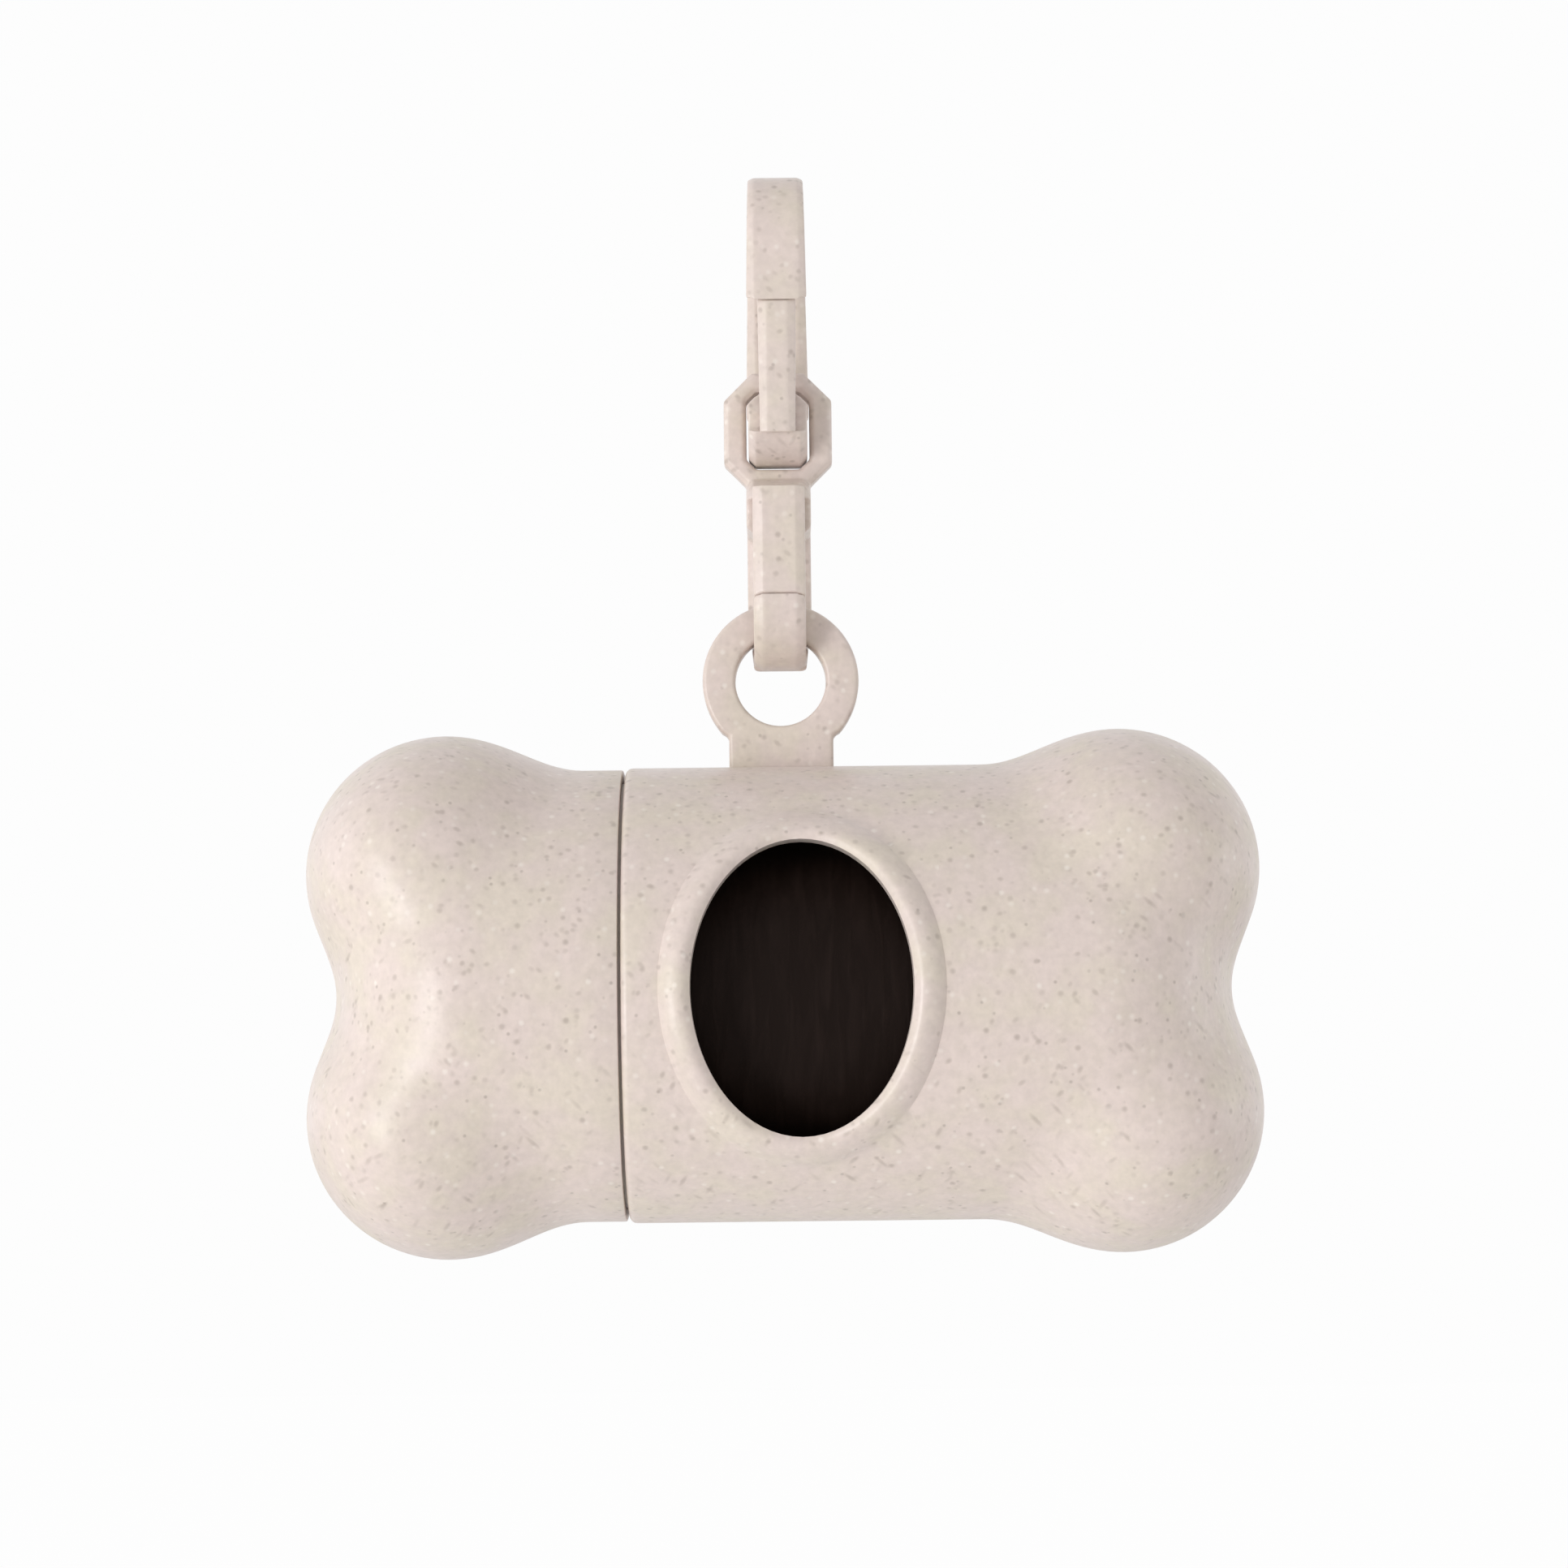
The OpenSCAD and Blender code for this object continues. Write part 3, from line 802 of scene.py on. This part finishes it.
@dataclass
class Housing(BoneShell):
    """The long end of the bone, with the window, the hanging ring and the neck."""

    window: Window = field(default_factory=Window)
    ring: HangingRing = field(default_factory=HangingRing)
    seam_bevel: float = 0.6
    bevel_steps: int = 5
    neck_r: float = 18.3
    band_w: float = 1.6
    band_from_tip: float = 2.4
    band_soft: float = 0.2
    window_rows: int = 20

    def _seam_and_neck(self) -> list[tuple[float, float]]:
        """Returns the profile from the seam's rounded edge, out along the neck, to its tip."""
        seam, tip = -self.seam_x, -self.seam_x - self.neck_len
        bevel, soft = self.seam_bevel, self.band_soft
        turns = [QUARTER * i / self.bevel_steps for i in range(self.bevel_steps + 1)]
        edge = [
            (seam + bevel * (1 - math.sin(a)), self.barrel_r - bevel * (1 - math.cos(a)))
            for a in turns
        ]
        near, far = seam - self.band_w, tip + self.band_from_tip
        return edge + [
            (seam, self.band_r), (near + soft, self.band_r), (near, self.neck_r),
            (far + soft, self.neck_r), (far, self.band_r),
            (far - self.band_w + 2 * soft, self.band_r), (far - self.band_w, self.neck_r),
            (tip + soft, self.neck_r), (tip, self.neck_r - soft),
            (tip, self.chamber_r + soft), (tip + soft, self.chamber_r),
        ]

    def build(self, centre: Vector) -> bpy.types.Object:
        """Models the housing.

        Args:
            centre: The bone's centre in the frame.

        Returns:
            The housing.
        """
        rows = self.window.rows(self.window_rows)
        skin = self.closed_end(self.barrel_r)
        before = set(skin.bm.faces)
        skin.lathe((x, self.barrel_r) for x in rows)
        outer = [f for f in skin.bm.faces if f not in before]
        skin.lathe(self._seam_and_neck())
        before = set(skin.bm.faces)
        skin.lathe((x, self.chamber_r) for x in reversed(rows))
        inner = [f for f in skin.bm.faces if f not in before]
        skin.lathe(self.chamber())
        skin.close(self.chamber_end)
        reveal = self.window.open(skin, outer, self.barrel_r, raised=True)
        reveal += self.window.open(skin, inner, self.chamber_r, raised=False)
        bmesh.ops.bridge_loops(skin.bm, edges=reveal)
        bmesh.ops.recalc_face_normals(skin.bm, faces=skin.bm.faces)
        self.ring.add_to(skin.bm)
        return settle(skin.bm, "housing_shell", centre)


@dataclass
class BagRoll:
    """A full roll of bags: one folded film wound round the core, in millimetres."""

    outer_r: float = 15.85
    inner_r: float = 7.2
    length: float = 57.4
    film_t: float = 0.42
    turns: int = 15
    steps: int = 60
    columns: int = 12
    ragged: float = 0.35  # mm that a turn may lie off its place along the roll
    ragged_by_turn: float = 0.9
    ragged_start: float = 3.1
    crumple: float = 0.07  # mm that the film may stand in or out
    crumple_grain: tuple[float, float, float] = (0.12, 2.2, 4.0)  # by mm, by turn, over the roll
    narrowing: float = 0.004
    edge_share: float = 0.1
    edge_tuck: float = 0.25
    tail_turn: float = 20.0
    sharp: float = 60.0

    def build(self, centre: Vector) -> bpy.types.Object:
        """Winds the film up from the core outwards.

        Args:
            centre: The roll's centre in the frame.

        Returns:
            The roll.
        """
        bm = bmesh.new()
        count = self.turns * self.steps
        share = bm.verts.layers.float.new("share")
        first = bm.verts.new((-self.length / 2, 0, 0))
        edges = []
        for column in range(1, self.columns + 1):
            across = column / self.columns
            nxt = bm.verts.new((self.length * (across - 0.5), 0, 0))
            nxt[share] = across
            edges.append(bm.edges.new((first, nxt)))
            first = nxt
        self._lay(edges, share, 0.0)
        for step in range(1, count + 1):
            made = bmesh.ops.extrude_edge_only(bm, edges=edges)["geom"]
            verts = {v for v in made if isinstance(v, bmesh.types.BMVert)}
            edges = [e for e in made if isinstance(e, bmesh.types.BMEdge) and set(e.verts) <= verts]
            self._lay(edges, share, step / count)
        piece = settle(bm, "bag_film_roll", centre, sharp=self.sharp)
        thick = piece.modifiers.new("film", "SOLIDIFY")
        thick.thickness = self.film_t * MM
        thick.offset = 0.0
        return piece

    def _lay(
        self, edges: list[bmesh.types.BMEdge], share: bmesh.types.BMLayerItem, wound: float
    ) -> None:
        """Lays one row of film on the roll.

        Args:
            edges: The row's edges.
            share: The layer that holds each vertex's place across the film.
            wound: How much of the film is wound, from 0 to 1.
        """
        turned = wound * self.turns
        angle = math.radians(self.tail_turn) - (self.turns - turned) * 2 * math.pi
        grown = (self.outer_r - self.film_t - self.inner_r) * wound
        radius = self.inner_r + self.film_t / 2 + grown
        shift = self.ragged * noise.noise((turned * self.ragged_by_turn, 0.0, self.ragged_start))
        by_mm, by_turn, by_roll = self.crumple_grain
        for v in {v for e in edges for v in e.verts}:
            off = v[share] - 0.5
            x = self.length * off * (1 - self.narrowing * math.cos(turned)) + shift
            wave = self.crumple * noise.noise((x * by_mm, turned * by_turn, wound * by_roll))
            past_edge = max(0.0, abs(off) * 2 - (1 - self.edge_share))
            r = radius + wave - past_edge * self.edge_tuck
            v.co = Vector((x, r * math.cos(angle), r * math.sin(angle)))


@dataclass
class RollCore:
    """The board tube that the film is wound on, in millimetres."""

    outer_r: float = 7.0
    wall: float = 0.8
    length: float = 58.0
    soft_edge: float = 0.15
    soft_steps: int = 3
    sides: int = 96

    def build(self, centre: Vector) -> bpy.types.Object:
        """Spins the wall's section round the X axis.

        Args:
            centre: The roll's centre in the frame.

        Returns:
            The core.
        """
        bm = bmesh.new()
        made = bmesh.ops.create_circle(bm, segments=4, radius=1.0)["verts"]
        bmesh.ops.rotate(bm, verts=made, matrix=Matrix.Rotation(math.pi / 4, 3, "Z"))
        stretch = (self.length / math.sqrt(2), self.wall / math.sqrt(2), 1)
        bmesh.ops.scale(bm, vec=stretch, verts=made)
        bmesh.ops.bevel(
            bm, geom=made, offset=self.soft_edge, segments=self.soft_steps, profile=0.5,
            affect="VERTICES", material=-1,
        )
        bmesh.ops.translate(bm, vec=(0, self.outer_r - self.wall / 2, 0), verts=bm.verts)
        bmesh.ops.spin(
            bm, geom=bm.verts[:] + bm.edges[:], cent=(0, 0, 0), axis=(1, 0, 0), angle=2 * math.pi,
            steps=self.sides, use_merge=True,
        )
        return settle(bm, "roll_core_tube", centre)


@dataclass
class ClipPart:
    """One moulding of the clip: the frame's solid, its edges softened as a mould leaves them."""

    node: str
    body: Body
    voxel: float = 0.11
    rounds: int = 4
    ease: float = 0.5
    sharp: float = 80.0

    def build(self) -> bpy.types.Object:
        """Copies the frame's solid, joins its triangles and rounds its edges.

        Returns:
            The moulding.
        """
        bm = bmesh.new()
        bm.from_mesh(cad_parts[self.node].data)
        bmesh.ops.remove_doubles(bm, verts=bm.verts, dist=MERGE * MM)
        mesh = bpy.data.meshes.new(self.node)
        bm.to_mesh(mesh)
        bm.free()
        rough = bpy.data.objects.new("rough", mesh)
        bpy.context.scene.collection.objects.link(rough)
        even = rough.modifiers.new("even", "REMESH")
        even.mode = "VOXEL"
        even.voxel_size = self.voxel * MM
        graph = bpy.context.evaluated_depsgraph_get()
        evened = bpy.data.meshes.new_from_object(rough.evaluated_get(graph))
        bpy.data.objects.remove(rough)
        bm = bmesh.new()
        bm.from_mesh(evened)
        for _ in range(self.rounds):
            bmesh.ops.smooth_vert(
                bm, verts=bm.verts, factor=self.ease, use_axis_x=True, use_axis_y=True,
                use_axis_z=True,
            )
        bmesh.ops.scale(bm, vec=(1 / MM,) * 3, verts=bm.verts)
        return settle(bm, self.node + "_moulding", Vector(), sharp=self.sharp)


# ---------------------------------------------------------------- studio


@dataclass(frozen=True)
class SoftLight:
    """A rectangular soft box that looks at the bone, in degrees, metres and watts.

    The azimuth is 0 in front of the window and grows towards the bone's +X end.
    """

    name: str
    azimuth: float
    elevation: float
    distance: float
    width: float
    height: float
    watts: float

    def place(self, target: Vector) -> None:
        """Hangs the light round its target.

        Args:
            target: The point that it looks at.
        """
        lamp = bpy.data.lights.new(self.name, "AREA")
        lamp.shape, lamp.energy = "RECTANGLE", self.watts
        lamp.size, lamp.size_y = self.width, self.height
        holder = bpy.data.objects.new(self.name, lamp)
        a, e = math.radians(self.azimuth), math.radians(self.elevation)
        back = Vector((math.sin(a) * math.cos(e), -math.cos(a) * math.cos(e), math.sin(e)))
        holder.location = target + back * self.distance
        holder.rotation_mode = "QUATERNION"
        holder.rotation_quaternion = (-back).to_track_quat("-Z", "Y")
        bpy.context.scene.collection.objects.link(holder)


@dataclass
class Studio:
    """A white sweep, soft lights and the camera, in metres."""

    frame_w: float = 0.1388  # width of what the camera sees at the holder
    distance: float = 0.38
    frame_centre_z: float = -0.0481
    aim_x: float = 0.0002
    camera_drop: float = 0.012
    roll: float = 0.65
    sensor: float = 36.0
    clip: tuple[float, float] = (0.01, 30.0)
    floor_z: float = -0.7
    floor_size: float = 20.0
    paper: str = "#F2F1EF"
    paper_fibre: float = 2.5  # mm; drawn coarser than real paper's, which is too fine to show
    paper_glow: float = 0.9
    paper_white: float = 1.021
    backdrop: float = 0.982
    ambient: float = 0.7
    lights: tuple[SoftLight, ...] = (
        SoftLight("key", -43, -7, 0.9, 0.26, 0.55, 3.6),
        SoftLight("side", -85, 5, 0.9, 1.2, 1.2, 2.1),
        SoftLight("fill", 100, 0, 0.9, 0.5, 0.5, 0.95),
    )

    def paper_material(self) -> bpy.types.Material:
        """White sweep paper: pale to the lights, plain white to the camera but for shadow."""
        material, tree = blank_material("sweep_paper")
        fibre = add_node(
            tree, "ShaderNodeTexNoise",
            {"Vector": add_node(tree, "ShaderNodeTexCoord").outputs["Object"],
             "Scale": 1 / (self.paper_fibre * MM)},
        )
        tint = add_node(
            tree, "ShaderNodeMix",
            {0: fibre.outputs["Fac"], 6: linear(self.paper), 7: linear("#FFFFFF")},
            data_type="RGBA",
        )
        matt = add_node(tree, "ShaderNodeBsdfDiffuse", {"Color": tint.outputs[2]})
        white = add_node(
            tree, "ShaderNodeEmission", {"Color": (1, 1, 1, 1), "Strength": self.paper_white}
        )
        rays = add_node(tree, "ShaderNodeLightPath")
        seen = add_node(
            tree, "ShaderNodeMath",
            {0: rays.outputs["Is Camera Ray"], 1: self.paper_glow}, operation="MULTIPLY",
        )
        mixed = add_node(
            tree, "ShaderNodeMixShader",
            {0: seen.outputs[0], 1: matt.outputs[0], 2: white.outputs[0]},
        )
        add_node(tree, "ShaderNodeOutputMaterial", {"Surface": mixed.outputs[0]})
        return material

    def lay_floor(self) -> None:
        """Lays the floor below the hanging holder."""
        bm = bmesh.new()
        bmesh.ops.create_grid(bm, x_segments=1, y_segments=1, size=self.floor_size / 2)
        bmesh.ops.translate(bm, vec=(0, 0, self.floor_z), verts=bm.verts)
        mesh = bpy.data.meshes.new("floor")
        bm.to_mesh(mesh)
        bm.free()
        floor = bpy.data.objects.new("floor", mesh)
        bpy.context.scene.collection.objects.link(floor)
        mesh.materials.append(self.paper_material())

    def light_world(self) -> None:
        """Makes the world white to the camera and in reflections, and plain to everything else."""
        world = bpy.data.worlds.new("white_room")
        bpy.context.scene.world = world
        world.use_nodes = True
        tree = world.node_tree
        tree.nodes.clear()
        rays = add_node(tree, "ShaderNodeLightPath")
        glossy = add_node(
            tree, "ShaderNodeMath",
            {0: rays.outputs["Is Glossy Ray"], 1: rays.outputs["Is Transmission Ray"]},
            operation="MAXIMUM",
        )
        seen = add_node(
            tree, "ShaderNodeMath", {0: glossy.outputs[0], 1: rays.outputs["Is Camera Ray"]},
            operation="MAXIMUM",
        )
        strength = add_node(
            tree, "ShaderNodeMapRange",
            {"Value": seen.outputs[0], "To Min": self.ambient, "To Max": self.backdrop},
        )
        white = add_node(
            tree, "ShaderNodeBackground",
            {"Color": (1, 1, 1, 1), "Strength": strength.outputs["Result"]},
        )
        add_node(tree, "ShaderNodeOutputWorld", {"Surface": white.outputs[0]})

    def set_camera(self, centre: Vector) -> None:
        """Sets the camera a little below the bone, looking up at the middle of the holder.

        Args:
            centre: The bone's centre in the frame.
        """
        stand = Vector((centre.x, -self.distance, centre.z - self.camera_drop))
        aim = Vector((self.aim_x, 0.0, self.frame_centre_z)) - stand
        lens = bpy.data.cameras.new("camera")
        lens.sensor_width = self.sensor
        lens.lens = self.sensor * aim.length / self.frame_w
        lens.clip_start, lens.clip_end = self.clip
        camera = bpy.data.objects.new("camera", lens)
        turn = aim.to_track_quat("-Z", "Y").to_matrix().to_4x4()
        rolled = turn @ Matrix.Rotation(math.radians(-self.roll), 4, "Z")
        camera.matrix_world = Matrix.Translation(stand) @ rolled
        bpy.context.scene.collection.objects.link(camera)
        bpy.context.scene.camera = camera

    def build(self, centre: Vector) -> None:
        """Sets up the whole studio round the bone's centre."""
        self.lay_floor()
        self.light_world()
        for light in self.lights:
            light.place(centre)
        self.set_camera(centre)
        bpy.context.scene.view_settings.view_transform = "Standard"


# ---------------------------------------------------------------- main


def middle(node: str) -> Vector:
    """Returns the centre of a frame node's box."""
    low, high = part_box(node)
    return (low + high) / 2


def main() -> None:
    """Builds every sub-assembly over the frame, then the studio."""
    logging.basicConfig(level=logging.INFO, format="%(name)s %(message)s")
    roll_centre = middle("bag_roll")
    cap_middle = middle("cap")
    bone_centre = Vector((0.0, 0.0, cap_middle.z))

    plastic = StrawPlastic().material()
    film = BagFilm().material()
    board = CoreBoard().material()

    dress(Housing().build(bone_centre), Body.HOUSING, Slot.PLASTIC, plastic, "housing")
    dress(Cap().build(bone_centre), Body.CAP, Slot.PLASTIC, plastic, "cap")
    dress(BagRoll().build(roll_centre), Body.ROLL, Slot.FILM, film, "bag_roll")
    dress(RollCore().build(roll_centre), Body.ROLL, Slot.BOARD, board, "roll_core")
    for part in (
        ClipPart("lower_link", Body.LOWER_LINK, rounds=8), ClipPart("lower_gate", Body.LOWER_GATE),
        ClipPart("upper_link", Body.UPPER_LINK), ClipPart("upper_gate", Body.UPPER_GATE),
    ):
        dress(part.build(), part.body, Slot.PLASTIC, plastic, part.node)

    Studio().build(bone_centre)


if __name__ == "__main__":
    main()
